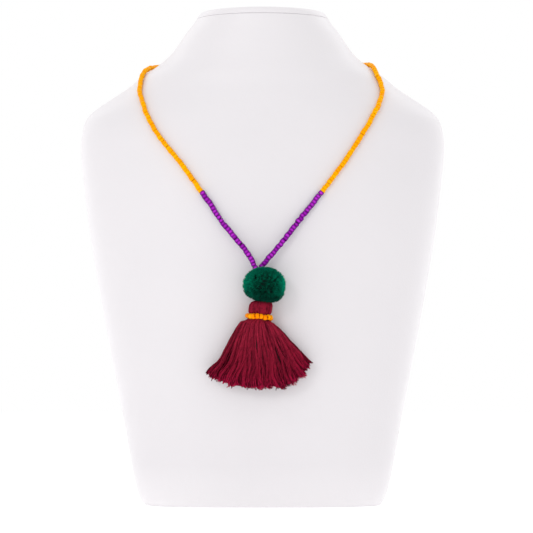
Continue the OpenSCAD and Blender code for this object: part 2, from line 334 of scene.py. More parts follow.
def smooth(rows, place):
    """The part's own curves through all columns of a table, at a place in its first column."""
    x, y = rows[:, 0], rows[:, 1:].T
    before, after = np.r_[0, 0 : len(x) - 1], np.r_[1 : len(x), len(x) - 1]
    slope = (y[:, after] - y[:, before]) / (x[after] - x[before])
    i = np.clip(np.searchsorted(x, place, side="right") - 1, 0, len(x) - 2)
    step = x[i + 1] - x[i]
    leave, arrive = step * slope[:, i], step * slope[:, i + 1]
    return hermite(y[:, i], y[:, i + 1], leave, arrive, (place - x[i]) / step)


def section(turn, up, inset=0.0):
    """Points of a level section: turn is the angle from the X axis, up the share of the height."""
    turn, up = np.broadcast_arrays(np.radians(turn), np.asarray(up, float))
    wide, front, back, front_square, back_square = smooth(BUST_ROWS, up)
    in_front = np.sin(turn) < 0
    square = np.where(in_front, front_square, back_square)
    deep = np.where(in_front, inset - CHEST_DEPTH * front, BACK_DEPTH * back - inset)
    share = np.maximum(0, 1 - np.abs(np.cos(turn)) ** square) ** (1 / square)
    return np.stack([(BUST_WIDTH / 2 * wide - inset) * np.cos(turn), deep * share], axis=-1)


def on_bust(turn, up):
    """A point on the bust's skin, in millimetres."""
    flat = section(turn, up)
    height = np.broadcast_to(CAP_HIGH * np.asarray(up, float), flat.shape[:-1])
    return np.concatenate([flat, height[..., None]], axis=-1)


def chest_y(height):
    """How far forward the chest is at a height, in the middle."""
    wide, front, *others = smooth(BUST_ROWS, height / CAP_HIGH)
    return -CHEST_DEPTH * front


print("bust", BUST_WIDTH, "by", round(CAP_HIGH, 1), "mm, chest at", round(float(chest_y(150.0)), 1))

# %% [markdown]
# A skin is a pile of closed rings joined by quads, with a fan of triangles over each end. Leatherette
# can't turn a knife edge, so the rings round the foot and the top of the neck draw in a little. The two
# small radii make the thin dark lines that the photograph shows at the table and under the cap.

# %% A skin through rings
FOOT_RADIUS = 0.8
RIM_RADIUS = 0.5
CAP_LOW_RADIUS = 0.5
CAP_TOP_RADIUS = 2.0
SEAM_CLOSED = 0.12
AROUND = 160
RINGS_PER_ROW = 7
BOARD_INSET = 7.0


def skin(name, rings, low_end, high_end):
    """A closed smooth mesh through rings that run the same way round, in millimetres."""
    levels, around = len(rings), len(rings[0])
    points = np.concatenate([np.reshape(rings, (-1, 3)), [low_end], [high_end]]) * MM
    j = np.arange(around)
    k = (j + 1) % around
    faces = []
    for i in range(levels - 1):
        a, b = i * around + j, i * around + k
        faces += np.stack([a, b, b + around, a + around], axis=1).tolist()
    low, high = levels * around, levels * around + 1
    top = (levels - 1) * around
    faces += np.stack([np.full(around, low), k, j], axis=1).tolist()
    faces += np.stack([np.full(around, high), top + j, top + k], axis=1).tolist()
    mesh = bpy.data.meshes.new(name)
    mesh.from_pydata(points.tolist(), [], faces)
    mesh.polygons.foreach_set("use_smooth", [True] * len(mesh.polygons))
    return put(name, mesh)


def runs(points):
    """Length along a path at each of its points."""
    return np.r_[0, np.cumsum(np.linalg.norm(np.diff(points, axis=0), axis=1))]


def even_turns(shares, outline, steps):
    """Angles at which these shares of the way round an outline are done."""
    turn = np.linspace(0, 360, steps + 1)
    run = runs(outline(turn))
    return np.interp(shares * run[-1], run, turn)


def ring(up, inset, height):
    """One level ring of the bust, drawn in by an inset."""
    flat = section(TURNS, up, inset)
    return np.column_stack([flat, np.full(len(flat), height)])


TURNS = even_turns(np.arange(AROUND) / AROUND, lambda turn: section(turn, 0.5), 7200)
print("rings of", AROUND, "points")

# %% Cover the form
QUARTER = np.radians(np.linspace(90, 0, 6))
RIM_HIGH = FORM_HIGH + SEAM_CLOSED
SEAM_LOW = CAP_LOW - SEAM_CLOSED
BOARD_ROOF = box_mm("bust_board")[1][2] + GAP
CLEAR = 0.001


def rolled_edge(radius, level, side):
    """Rings that draw in round an edge: the low edge of a skin if side is 1, its high edge if -1."""
    curve = [(radius * (1 - np.cos(a)), level + side * radius * (1 - np.sin(a))) for a in QUARTER[::side]]
    return [ring(height / CAP_HIGH, inset, height) for inset, height in curve]


def bust_rings():
    """Recess for the board, rounded foot, body and rounded rim of the neck, from below."""
    rows = BUST_ROWS[:, 0]
    between = [np.linspace(a, b, RINGS_PER_ROW, endpoint=False) for a, b in zip(rows, rows[1:])]
    low, high = FOOT_RADIUS / CAP_HIGH + CLEAR, (RIM_HIGH - RIM_RADIUS) / CAP_HIGH - CLEAR
    recess = [ring(0, BOARD_INSET, BOARD_ROOF), ring(0, BOARD_INSET, 0)]
    body = [ring(up, 0, CAP_HIGH * up) for up in np.concatenate(between) if low < up < high]
    return recess + rolled_edge(FOOT_RADIUS, 0, 1) + body + rolled_edge(RIM_RADIUS, RIM_HIGH, -1)


cap_rings = rolled_edge(CAP_LOW_RADIUS, SEAM_LOW, 1) + rolled_edge(CAP_TOP_RADIUS, CAP_HIGH, -1)
bust_cover = skin("bust_cover", bust_rings(), (0, 0, BOARD_ROOF), (0, 0, RIM_HIGH))
cap_cover = skin("cap_cover", cap_rings, (0, 0, SEAM_LOW), (0, 0, CAP_HIGH))
print("bust cover", len(bust_cover.data.polygons), "faces")

# %% [markdown]
# White leatherette is a soft plastic skin with a fine pebbled grain, about a millimetre from pebble to
# pebble. The grain is cells of a Voronoi pattern, broken up by noise and raised by a few hundredths of
# a millimetre. It is nearly matt. Its tone wanders very slightly, as it does on a used stand. A lighter
# colour painted towards the foot stands in for light thrown up by the white table, and a lighter colour
# painted at the neck stands in for light from above.


# %% Leatherette and board
LEATHER_LOW = (0.745, 0.722, 0.745)
LEATHER_HIGH = (0.78, 0.752, 0.775)
# The lighter colour painted towards the foot and at the neck, as light
LEATHER_PAINTED_LIGHT = (0.83, 0.805, 0.825)
# From which height to which height painted light makes the tone lighter, in metres, and by what share
FOOT_PAINTED_LIGHT = (0.028, 0.0, 1.0)
NECK_PAINTED_LIGHT = (0.250, 0.300, 0.2)
# How many pebbles, pores and clouds there are in a metre, and how high a pebble is, in metres
PEBBLES, PORES, CLOUDS = 950, 2400, 14
PEBBLE_HEIGHT = 0.00006


def leatherette(net):
    place = net.place()
    cells = net.add("ShaderNodeTexVoronoi", {"Vector": place, "Scale": PEBBLES}, feature="SMOOTH_F1")
    grain = (1 - cells) * 0.7 + noise(net, place, PORES) * 0.3
    cloud = noise(net, place, CLOUDS, detail=3)
    height = net.split(place).also("Z")
    # painted light: lighter towards the foot, for light from the white table, and at the neck, for light
    # from above
    painted_light = net.ramp(height, *FOOT_PAINTED_LIGHT) + net.ramp(height, *NECK_PAINTED_LIGHT)
    return {
        "Base Color": net.blend(painted_light, net.blend(cloud, LEATHER_LOW, LEATHER_HIGH), LEATHER_PAINTED_LIGHT),
        "Roughness": 0.42 + 0.12 * noise(net, place, 60),
        "Normal": bump(net, grain, PEBBLE_HEIGHT),
        "Specular IOR Level": 0.45,
        "Sheen Weight": 0.35,
        "Sheen Roughness": 0.3,
    }


def painted_board(net):
    fibre = noise(net, net.place(40, 700, 700), 1, detail=4)
    return {
        "Base Color": net.blend(fibre, (0.6, 0.59, 0.57), (0.74, 0.73, 0.71)),
        "Roughness": 0.7,
        "Normal": bump(net, fibre, 0.0001),
    }


def wear(obj, material):
    """Gives an object one material."""
    obj.data.materials.clear()
    obj.data.materials.append(material)


def dress(obj, material, slot, *nodes):
    """Gives a piece its place in the part, and its material if the piece has none yet."""
    if material:
        wear(obj, material)
    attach(obj, "root")
    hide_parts(*nodes)
    print(obj.name, len(obj.data.polygons), "faces")


leather = finish("white_leatherette", leatherette)
dress(bust_cover, leather, "leatherette", "bust_form")
dress(cap_cover, leather, "leatherette", "bust_cap")
wear(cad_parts["bust_board"], finish("painted_board", painted_board))

# %% [markdown]
# Shapes that repeat are grown by Geometry Nodes. A tree starts with named inputs, so that the same tree
# serves several pieces, and the grown result is turned into a plain mesh before it joins the part. The
# steps that the trees share are methods of their net. An input's usual value tells its kind.


# %% Growing a mesh
class Grower(Net):
    """A geometry tree and its inputs, which start holds."""

    def stored(self, name, kind="FLOAT"):
        """A number or a vector that was stored on the points."""
        return self.add("GeometryNodeInputNamedAttribute", {"Name": name}, data_type=kind)

    def store(self, geometry, name, value, kind="FLOAT", domain="POINT"):
        """The geometry with a value stored on it."""
        sockets = {"Geometry": geometry, "Name": name, "Value": value}
        return self.add("GeometryNodeStoreNamedAttribute", sockets, data_type=kind, domain=domain)

    def random(self, low, high, salt, kind="FLOAT"):
        """A seeded random number or vector for each bead or fibre. Its salt sets it apart from others."""
        out = {"FLOAT": 1, "FLOAT_VECTOR": 0}[kind]
        sockets = {"Min": low, "Max": high, "Seed": self.start.also("Seed") + salt}
        return self.add("FunctionNodeRandomValue", sockets, out, data_type=kind)

    def stray(self, reach, salt):
        """A seeded random vector with each coordinate between minus and plus reach."""
        unit = self.random((-1, -1, -1), (1, 1, 1), salt, "FLOAT_VECTOR")
        return self.add("ShaderNodeVectorMath", {0: unit, "Scale": reach}, operation="SCALE")

    def turned(self, way, **angles):
        """A rotation that turns by these angles and then points Z that way."""
        facing = self.add("FunctionNodeAlignRotationToVector", {"Vector": way}, axis="Z")
        small = self.add("FunctionNodeEulerToRotation", {0: self.join(**angles)})
        return self.add("FunctionNodeRotateRotation", {0: facing, 1: small}, rotation_space="LOCAL")

    def move(self, geometry, **how):
        """The geometry at another Position, or moved by an Offset."""
        return self.add("GeometryNodeSetPosition", {"Geometry": geometry, **how})

    def copies(self, points, instance, rotation, **scale):
        """An instance on each point."""
        sockets = {"Points": points, "Instance": instance, "Rotation": rotation}
        sockets["Scale"] = self.join(**scale)
        return self.add("GeometryNodeInstanceOnPoints", sockets)

    def sweep(self, line, wire, **more):
        """A closed tube along a curve."""
        sockets = {"Curve": line, "Profile Curve": wire, "Fill Caps": True, **more}
        return self.add("GeometryNodeCurveToMesh", sockets)

    def real(self, geometry):
        """The geometry with its instances turned into mesh."""
        return self.add("GeometryNodeRealizeInstances", {0: geometry})

    def paint(self, geometry, material, smooth=True):
        """The geometry in the material of that input."""
        if smooth:
            geometry = self.add("GeometryNodeSetShadeSmooth", {0: geometry})
        sockets = {"Geometry": geometry, "Material": self.start.also(material)}
        return self.add("GeometryNodeSetMaterial", sockets)


SOCKETS = {int: "Int", float: "Float", tuple: "Vector", type(None): "Material"}


def start_tree(name, **inputs):
    """A geometry tree with a geometry input, these other inputs and a geometry output."""
    tree = bpy.data.node_groups.new(name, "GeometryNodeTree")
    for side in ("OUTPUT", "INPUT"):
        tree.interface.new_socket("Geometry", in_out=side, socket_type="NodeSocketGeometry")
    for label, value in inputs.items():
        kind = "NodeSocket" + SOCKETS[type(value)]
        socket = tree.interface.new_socket(label, in_out="INPUT", socket_type=kind)
        if value is not None:
            socket.default_value = value
    net = Grower(tree)
    net.start = net.add("NodeGroupInput")
    return net, net.start


def end_tree(net, *parts):
    """Joins the parts, turns instances into real mesh and hands it out."""
    whole = net.add("GeometryNodeJoinGeometry")
    for part in parts:
        net.tree.links.new(part.socket, whole.socket.node.inputs[0])
    net.add("NodeGroupOutput", {0: net.real(whole)})
    return net.tree


def grow(obj, tree, **inputs):
    """Runs a tree on an object and keeps the result as its plain mesh."""
    modifier = obj.modifiers.new("grow", "NODES")
    modifier.node_group = tree
    for item in tree.interface.items_tree:
        label = item.name.lower().replace(" ", "_")
        if item.in_out == "INPUT" and label in inputs:
            modifier[item.identifier] = inputs[label]
    scene_now = bpy.context.evaluated_depsgraph_get()
    mesh = bpy.data.meshes.new_from_object(
        obj.evaluated_get(scene_now), preserve_all_data_layers=True, depsgraph=scene_now
    )
    obj.modifiers.remove(modifier)
    obj.data = mesh
    return obj


def paths(name, routes, closed=False, **numbers):
    """A mesh of polylines, in millimetres, with numbers stored on its points."""
    routes = np.asarray(routes, float)
    count, length = routes.shape[:2]
    start = np.arange(count)[:, None] * length
    step = np.arange(length if closed else length - 1)
    edges = np.stack([start + step, start + (step + 1) % length], axis=-1).reshape(-1, 2)
    mesh = bpy.data.meshes.new(name)
    mesh.from_pydata((routes.reshape(-1, 3) * MM).tolist(), edges.tolist(), [])
    for label, values in numbers.items():
        spread = np.broadcast_to(np.asarray(values, float), (count, length)).ravel()
        mesh.attributes.new(label, "FLOAT", "POINT").data.foreach_set("value", spread)
    return put(name, mesh)


print("growing helpers ready")

# %% [markdown]
# A seed bead is a short glass tube melted round at its ends, with a hole for the thread. Its skin is a
# grid rolled into a ring: one side of the grid goes round the hole, the other round the glass. The tree
# walks the strand at the beads' pitch, turns a bead along it at each step, and varies size, tilt and
# tone a little with a fixed seed, because seed beads are never quite alike. A thread runs inside.

# %% A tree that strings beads
BEAD_SIDES = 10
BEAD_PROFILE = 7
BEAD_WIDTHS = (0.95, 1.05)
BEAD_LENGTHS = (0.92, 1.06)
WIRE_SIDES = 6
WIRE_RADIUS = 0.0003
TURN = 2 * math.pi


def rounded(value, power):
    """Squares a wave while it keeps its sign."""
    return value.math("SIGN") * value.math("ABSOLUTE") ** power


def one_bead(net, start):
    """A bead along Z, with the share from its middle to its end stored as belt."""
    sizes = {"Vertices X": BEAD_SIDES + 1, "Vertices Y": BEAD_PROFILE + 1, "Size X": 1.0, "Size Y": 1.0}
    grid = net.add("GeometryNodeMeshGrid", sizes)
    flat = net.split(net.add("GeometryNodeInputPosition"))
    round_hole = flat * TURN
    round_glass = (flat.also("Y") + 0.5 / BEAD_PROFILE) * TURN
    width, hole, roundness = start.also("Width"), start.also("Hole"), start.also("Roundness")
    wall = (width - hole) * 0.25
    middle = (width + hole) * 0.25
    radius = middle + wall * rounded(round_glass.math("COSINE"), roundness)
    height = start.also("Length") * 0.5 * rounded(round_glass.math("SINE"), roundness * 0.5 + 0.4)
    rolled = net.join(X=radius * round_hole.math("COSINE"), Y=radius * round_hole.math("SINE"), Z=height)
    marked = net.store(grid, "belt", round_glass.math("SINE").math("ABSOLUTE"))
    bent = net.move(marked, Position=rolled)
    return net.add("GeometryNodeMergeByDistance", {"Geometry": bent, "Distance": 1e-6})


def bead_tree():
    net, start = start_tree(
        "string_beads", Pitch=0.0023, Width=0.0031, Length=0.0023, Hole=0.0008, Roundness=0.4,
        Wander=0.00016, Tilt=0.1, Seed=1, Glass=None, Thread=None,
    )
    line = net.add("GeometryNodeMeshToCurve", {0: start})
    by_pitch = {"Curve": line, "Length": start.also("Pitch")}
    walked = net.add("GeometryNodeResampleCurve", by_pitch, mode="LENGTH")
    shaken = net.move(walked, Offset=net.stray(start.also("Wander"), 11))
    tilt = start.also("Tilt")
    lean, nod = net.random(tilt * -1, tilt, 23), net.random(tilt * -1, tilt, 31)
    along = net.add("GeometryNodeInputTangent")
    turned = net.turned(along, X=lean, Y=nod, Z=net.random(0.0, TURN, 41))
    wide = net.stored("size") * net.random(*BEAD_WIDTHS, 53)
    longer = wide * net.random(*BEAD_LENGTHS, 61)
    beads = net.copies(shaken, one_bead(net, start), turned, X=wide, Y=wide, Z=longer)
    toned = net.store(beads, "tone", net.random(0.0, 1.0, 71), domain="INSTANCE")
    # How much each bead's surface faces the front is stored as front, for a painted highlight on the
    # purple glass
    way = net.split(net.add("GeometryNodeInputNormal"))
    front_lit_beads = net.store(net.real(toned), "front", (way.also("Y") * -1).math("MAXIMUM", 0.0))
    circle = {"Resolution": WIRE_SIDES, "Radius": WIRE_RADIUS}
    thread = net.sweep(line, net.add("GeometryNodeCurvePrimitiveCircle", circle))
    return end_tree(net, net.paint(thread, "Thread", smooth=False), net.paint(front_lit_beads, "Glass"))


string_beads = bead_tree()
print("bead tree of", len(string_beads.nodes), "nodes")

# %% [markdown]
# The strand rests on the bust, so its route is chosen on the bust's skin: an angle round it from the
# nape, a height, and how far the strand is drawn off the chest where the drop hangs. The rows are the
# part's own, and a last one brings the two strands side by side. Pushing each point outwards by half a
# bead and the gap lays the beads on the leatherette.

# %% Routes of the strands
BEAD_WIDTH = 3.1
BEAD_PITCH = 2.4
CHANGE_ROWS = {"left": 18, "right": 19}
LEFT_ROUTE = np.array([
    [0, 0.90, 0], [25, 0.899, 0], [48, 0.896, 0], [66, 0.892, 0], [80, 0.888, 0], [90, 0.883, 0.015],
    [99, 0.876, 0.02], [105.5, 0.868, 0.015], [110.5, 0.860, 0.01], [114.8, 0.851, 0], [119.5, 0.841, 0],
    [125.2, 0.829, 0], [131.2, 0.815, 0], [137, 0.797, 0], [141.5, 0.773, 0], [145.8, 0.740, 0],
    [150.3, 0.708, 0], [154.7, 0.675, 0], [160.6, 0.623, 0], [163.5, 0.598, 0], [166.7, 0.566, 0.08],
    [169.6, 0.544, 0.18], [172.6, 0.521, 0.29], [175.3, 0.500, 0.39],
])
RIGHT_ROUTE = np.array([
    [0, 0.90, 0], [25, 0.900, 0], [48, 0.898, 0], [66, 0.896, 0], [80, 0.893, 0], [90, 0.890, 0.01],
    [100, 0.885, 0.015], [108, 0.878, 0.02], [113, 0.870, 0.015], [116.2, 0.862, 0], [118.6, 0.853, 0],
    [121.8, 0.843, 0], [126, 0.832, 0], [131, 0.820, 0], [137, 0.802, 0], [142.5, 0.778, 0],
    [147, 0.745, 0], [151.3, 0.708, 0], [154.9, 0.675, 0], [161.1, 0.623, 0], [164.3, 0.598, 0],
    [168.3, 0.566, 0.08], [171, 0.544, 0.18], [173.9, 0.520, 0.29], [177, 0.498, 0.39],
])
STRANDS_X = -2.5
LEFT_HANG, RIGHT_HANG = 0.470, 0.474
HANG_OFF = 0.50
CLASP_DIAMETER = 4.6
POMPOM_HALF = 12.5
POINTS_PER_ROW = 40


def outward(turn, up):
    """The direction that points out of the bust's skin."""
    across = on_bust(turn + 1, up) - on_bust(turn - 1, up)
    upward = on_bust(turn, up + 0.002) - on_bust(turn, up - 0.002)
    out = np.cross(across, upward)
    return out / np.linalg.norm(out, axis=-1, keepdims=True)


def leg_rows(route, side, hang):
    """The route with its last row, which ends beside the other leg."""
    x = STRANDS_X + side * (BEAD_WIDTH + GAP) / 2
    wide, *others = smooth(BUST_ROWS, hang)
    turn = 360 - math.degrees(math.acos(x / (BUST_WIDTH / 2 * wide)))
    last = side * (90 - turn) + (360 if side > 0 else 0)
    return np.vstack([route, [last, hang, HANG_OFF]])


def strand_points(route, side, hang):
    """Closely spaced points of a strand, with the row that each one belongs to."""
    rows = leg_rows(route, side, hang)
    k = np.linspace(0, len(rows) - 1, POINTS_PER_ROW * len(rows))
    i = np.minimum(np.floor(k).astype(int), len(rows) - 2)
    row = lambda n: rows[np.clip(n, 0, len(rows) - 1)]
    leave, arrive = (row(i + 1) - row(i - 1)) / 2, (row(i + 2) - row(i)) / 2
    angle, up, off = hermite(row(i), row(i + 1), leave, arrive, (k - i)[:, None]).T
    lift = BEAD_WIDTH / 2 + GAP + off * (POMPOM_HALF - BEAD_WIDTH / 2)
    lift += (CLASP_DIAMETER - BEAD_WIDTH) / 2 * np.maximum(0, 1 - k)
    turn = 90 - side * angle
    return on_bust(turn, up) + lift[:, None] * outward(turn, up), k


def stretch(points, start, end, spacing=0.8):
    """The part of a path between two lengths, with evenly spaced points."""
    run = runs(points)
    at = np.linspace(start, end, max(2, int((end - start) / spacing)))
    return np.column_stack([np.interp(at, run, points[:, c]) for c in range(3)])


legs = {
    "left": strand_points(LEFT_ROUTE, -1, LEFT_HANG),
    "right": strand_points(RIGHT_ROUTE, 1, RIGHT_HANG),
}
for name, (points, k) in legs.items():
    print(name, "half of the necklace:", round(runs(points)[-1], 1), "mm")

# %% [markdown]
# The orange beads are opaque: strong colour and a hard gloss, with painted shade towards the ends of
# each bead. The purple ones let light in; each gets a painted highlight where it faces the front, and
# painted shade at its ends and sides. Colour that depends on the bead is read from numbers the tree
# stored.


# %% Glass and thread
def orange_glass(net, seam_shade=0.4, low=(1.0, 0.37, 0.0), high=(1.0, 0.48, 0.001)):
    tone, belt = numbers(net, "tone", "belt")
    return {
        # painted shade: each bead darkens towards its ends, where the beads meet
        "Base Color": net.blend(belt ** 4 * seam_shade, net.blend(tone, low, high), (0.85, 0.22, 0.0)),
        "Roughness": 0.3,
        "Specular IOR Level": 0.08,
        "Specular Tint": (1.0, 0.6, 0.2),
    }


def purple_glass(net):
    tone, belt, front = numbers(net, "tone", "belt", "front")
    # painted highlight: brightest where a bead faces the front, darker at its sides; painted shade
    # darkens its ends
    body = net.blend(tone, (0.34, 0.009, 0.44), (0.72, 0.046, 0.88))
    painted_front_light = net.blend(front ** 3, (0.16, 0.001, 0.22), body)
    return {
        "Base Color": net.blend(belt ** 1.5, painted_front_light, (0.06, 0.0, 0.10)),
        "Roughness": 0.25,
        "Specular IOR Level": 0.08,
        "Specular Tint": (0.9, 0.4, 1.0),
    }


def bead_thread(net):
    fluff = noise(net, net.place(), 900)
    return {"Base Color": net.blend(fluff, (0.35, 0.12, 0.1), (0.5, 0.2, 0.16)), "Roughness": 0.8}


# A copy of the orange glass with painted light: deeper orange for red light thrown from the tassel, and
# full painted shade between the beads
def collar_glass_painted_light(net):
    return orange_glass(net, seam_shade=1.0, low=(1.0, 0.27, 0.0), high=(1.0, 0.43, 0.001))


orange = finish("orange_seed_beads", orange_glass)
collar_orange_painted_light = finish("collar_seed_beads", collar_glass_painted_light)
purple = finish("purple_seed_beads", purple_glass)
thread = finish("bead_thread", bead_thread)


def string(name, route, glass, slot, node, closed=False, size=1.0, pitch=BEAD_PITCH, fill=1.0, **more):
    """A string of beads along a route. The fill is a bead's length as a share of its pitch."""
    line = paths(name, [route], closed, size=size)
    grow(line, string_beads, pitch=pitch * MM, width=BEAD_WIDTH * MM, length=pitch * fill * MM,
         glass=glass, thread=thread, **more)
    dress(line, None, slot, node)


ORANGE_SIZE = 1.1
PURPLE_SIZE = 1.18
PURPLE_OFF = 0.25
half_pitch = BEAD_PITCH / 2
for seed, (name, (points, k)) in enumerate(legs.items()):
    run = runs(points)
    nape_end = (box_mm("clasp")[1][0] - box_mm("clasp")[0][0]) / 2 + GAP
    change = np.interp(CHANGE_ROWS[name], k, run)
    upper = stretch(points, nape_end + half_pitch, change - half_pitch)
    lower = stretch(points, change + half_pitch, run[-1] - half_pitch / 2)
    string("orange_beads_" + name, upper, orange, "orange_beads", "orange_strand_" + name,
           size=ORANGE_SIZE, seed=100 + seed)
    lower[:, 1] -= PURPLE_OFF
    string("purple_beads_" + name, lower, purple, "purple_beads", "purple_strand_" + name,
           size=PURPLE_SIZE, wander=0.00025, seed=200 + seed)

# %% [markdown]
# The ring of beads round the tassel's waist is the same bead tree on a closed route. The ring tilts down
# to the right, and the beads at its front left are larger than the rest, as hand-strung beads are.

# %% Ring of beads
COLLAR_TILT = 5
COLLAR_BEADS = 17
COLLAR_START = 80.6
COLLAR_SIZE = 1.15
COLLAR_BIG = 0.22
COLLAR_BIG_TURN, COLLAR_BIG_SPAN = 250, 9
COLLAR_CLOSER = 0.995
collar_low, collar_high = box_mm("bead_collar")
collar_centre = (collar_low + collar_high) / 2
COLLAR_RADIUS = (collar_high[1] - collar_low[1] - BEAD_WIDTH) / 2
tilt = math.radians(COLLAR_TILT)
turn = np.radians(COLLAR_START + np.arange(COLLAR_BEADS * 4) / (COLLAR_BEADS * 4) * 360)
x = COLLAR_RADIUS * np.cos(turn)
ring_offset = [x * math.cos(tilt), COLLAR_RADIUS * np.sin(turn), -x * math.sin(tilt)]
ring_route = collar_centre + np.stack(ring_offset, axis=-1)
big = COLLAR_SIZE + COLLAR_BIG * np.exp(-(((np.degrees(turn) - COLLAR_BIG_TURN) / COLLAR_BIG_SPAN) ** 2))
collar_pitch = TURN * COLLAR_RADIUS / COLLAR_BEADS * COLLAR_CLOSER
string("collar_beads", ring_route, collar_orange_painted_light, "orange_beads", "bead_collar", closed=True, size=big,
       pitch=collar_pitch, fill=0.84, roundness=1.0, wander=0.0003, tilt=0.25, seed=302)

# %% [markdown]
# A pompom is a bundle of yarn tied in the middle and clipped to a ball. Each cut end of yarn opens into
# a small brush of fibres. The tree scatters roots over a heart painted dark as shade, copies each root
# once for every fibre of its brush, and lets the fibres lean apart. They all end at the clipped outline,
# so the ball is crisp against the light and dark where one looks down between the fibres. Its rim is
# lighter partly from the fibres seen side on and partly from painted light.

# %% A tree that grows cut yarn
FIBRE_SIDES = 3
FIBRE_STEPS = 1
FIBRE_THINS = 0.3
FIBRE_LENGTHS = (0.84, 1.07)
MOST_ROOTS = 3e6
BRUSH_DOME = 0.9


def one_fibre(net, start):
    """A fibre of unit length along Z that leans and thins, with the share of its length as tip."""
    radius = start.also("Fibre")
    shape = {"Vertices": FIBRE_SIDES, "Side Segments": FIBRE_STEPS, "Radius": radius, "Depth": 1.0}
    tube = net.add("GeometryNodeMeshCylinder", shape, fill_type="NGON")
    flat = net.split(net.add("GeometryNodeInputPosition"))
    share = flat.also("Z") + 0.5
    thin = 1 - FIBRE_THINS * share
    place = net.join(X=flat * thin + start.also("Bend") * share ** 2, Y=flat.also("Y") * thin, Z=share)
    return net.move(net.store(tube, "tip", share), Position=place)


def yarn_tree():
    net, start = start_tree(
        "clip_yarn", Centre=(0, 0, 0), Spacing=0.0013, Fibres=14, Grow=0.8, Lean=0.1, Spread=0.1,
        Fibre=0.0001, Bend=0.0004, Seed=1, Yarn=None, Heart=None,
    )
    spacing, seed = start.also("Spacing"), start.also("Seed")
    scatter = {"Mesh": start, "Distance Min": spacing, "Density Max": MOST_ROOTS, "Seed": seed}
    roots = net.add("GeometryNodeDistributePointsOnFaces", scatter, distribute_method="POISSON")
    roots = net.store(roots, "brush_lean", net.stray(start.also("Lean"), 5), kind="FLOAT_VECTOR")
    roots = net.store(roots, "tone", net.random(0.0, 1.0, 6))
    many = {"Geometry": roots, "Amount": start.also("Fibres")}
    brushes = net.add("GeometryNodeDuplicateElements", many, domain="POINT")
    out = net.vector("SUBTRACT", net.add("GeometryNodeInputPosition"), start.also("Centre"))
    stray = net.stray(start.also("Spread"), 7)
    lean = net.vector("ADD", net.stored("brush_lean", "FLOAT_VECTOR"), stray)
    way = net.vector("ADD", net.vector("NORMALIZE", out), lean)
    turned = net.turned(way, Z=net.random(0.0, TURN, 8))
    dome = 1 - BRUSH_DOME * net.vector("LENGTH", stray, out="Value") ** 2
    far = net.vector("LENGTH", out, out="Value")
    reach = far * start.also("Grow") * dome * net.random(*FIBRE_LENGTHS, 9)
    fibres = net.copies(brushes, one_fibre(net, start), turned, X=1.0, Y=1.0, Z=reach)
    return end_tree(net, net.paint(net.real(fibres), "Yarn"), net.paint(start, "Heart", smooth=False))


clip_yarn = yarn_tree()
print("yarn tree of", len(clip_yarn.nodes), "nodes")

# %% [markdown]
# Acrylic yarn is matt. Its lighter rim is painted light, stronger on the right. Painted shade makes a
# fibre darkest at its root, where little light gets in, and darkens the underside of the ball. Each
# brush has its own tone.

# %% Pompom
pompom_low, pompom_high = box_mm("pompom")
POMPOM_X, POMPOM_WIDE = (pompom_low[0] + pompom_high[0]) / 2, 14.3
# Root colours are painted shade deep in the pile, and rim colours are painted light at the sides of the
# ball
YARN_ROOT_SHADE = (0.0, 0.012, 0.009), (0.0, 0.022, 0.016)
YARN_MIDDLE = (0.0, 0.10, 0.058), (0.0, 0.28, 0.155)
YARN_RIM_LIGHT = (0.0, 0.19, 0.11), (0.0, 0.60, 0.34)
YARN_HEART_SHADE = (0.0, 0.012, 0.009), (0.0, 0.02, 0.015)
# From which height to which height painted shade darkens the underside, in metres, and by what share
UNDERSIDE_SHADE = (0.146, 0.137, 0.75)


def green_yarn(net):
    tip, tone = numbers(net, "tip", "tone")
    root, middle, rim_light = (net.blend(tone, *pair) for pair in (YARN_ROOT_SHADE, YARN_MIDDLE, YARN_RIM_LIGHT))
    place = net.split(net.place())
    # painted light: the fibre ends grow lighter towards the sides of the ball, more on the right
    aside = (place - POMPOM_X * MM) / (POMPOM_WIDE * MM)
    end = net.blend(aside ** 2 * (0.75 + 0.25 * aside), middle, rim_light)
    # painted shade darkens the underside of the ball
    under_shade = net.ramp(place.also("Z"), *UNDERSIDE_SHADE)
    return {
        "Base Color": net.blend(under_shade, net.blend(tip ** 2.6, root, end), root),
        "Roughness": 0.8,
        "Specular IOR Level": 0.05,
    }


# The heart inside the pile is painted nearly black, as shade
def painted_shade_heart(net):
    return {"Base Color": net.blend(noise(net, net.place(), 800), *YARN_HEART_SHADE), "Roughness": 0.9}


yarn = finish("green_yarn", green_yarn)
heart = finish("yarn_heart", painted_shade_heart)
HEART_SHARE = 0.68
HEART_LEVELS = 16
HEART_SIDES = 28
POMPOM_DENT = 2
LOWER_SQUARE = 2.3
LOW_ASIDE = 2.6
POMPOM_ASIDE = 0.1
YARN_REACH = 1.02
pompom_half = np.array([POMPOM_WIDE, POMPOM_HALF, 11.9])
pompom_centre = (pompom_low + pompom_high) / 2 + [POMPOM_ASIDE, 0, 0]
pompom_centre[2] = pompom_low[2] + pompom_half[2] - POMPOM_DENT


def heart_ring(rise):
    """A level ring of the pompom's heart. It is fuller below its middle, and lowest on the right."""
    turns = np.radians(np.arange(HEART_SIDES) / HEART_SIDES * 360)
    power = 2 / LOWER_SQUARE if rise < 0 else 1
    out, up = math.cos(rise) ** power, math.copysign(abs(math.sin(rise)) ** power, rise)
    unit = np.column_stack([out * np.cos(turns), out * np.sin(turns), 0 * turns + up])
    aside = LOW_ASIDE * max(0, -2 * up - 1)
    return pompom_centre + HEART_SHARE * (pompom_half * unit + [aside, 0, 0])


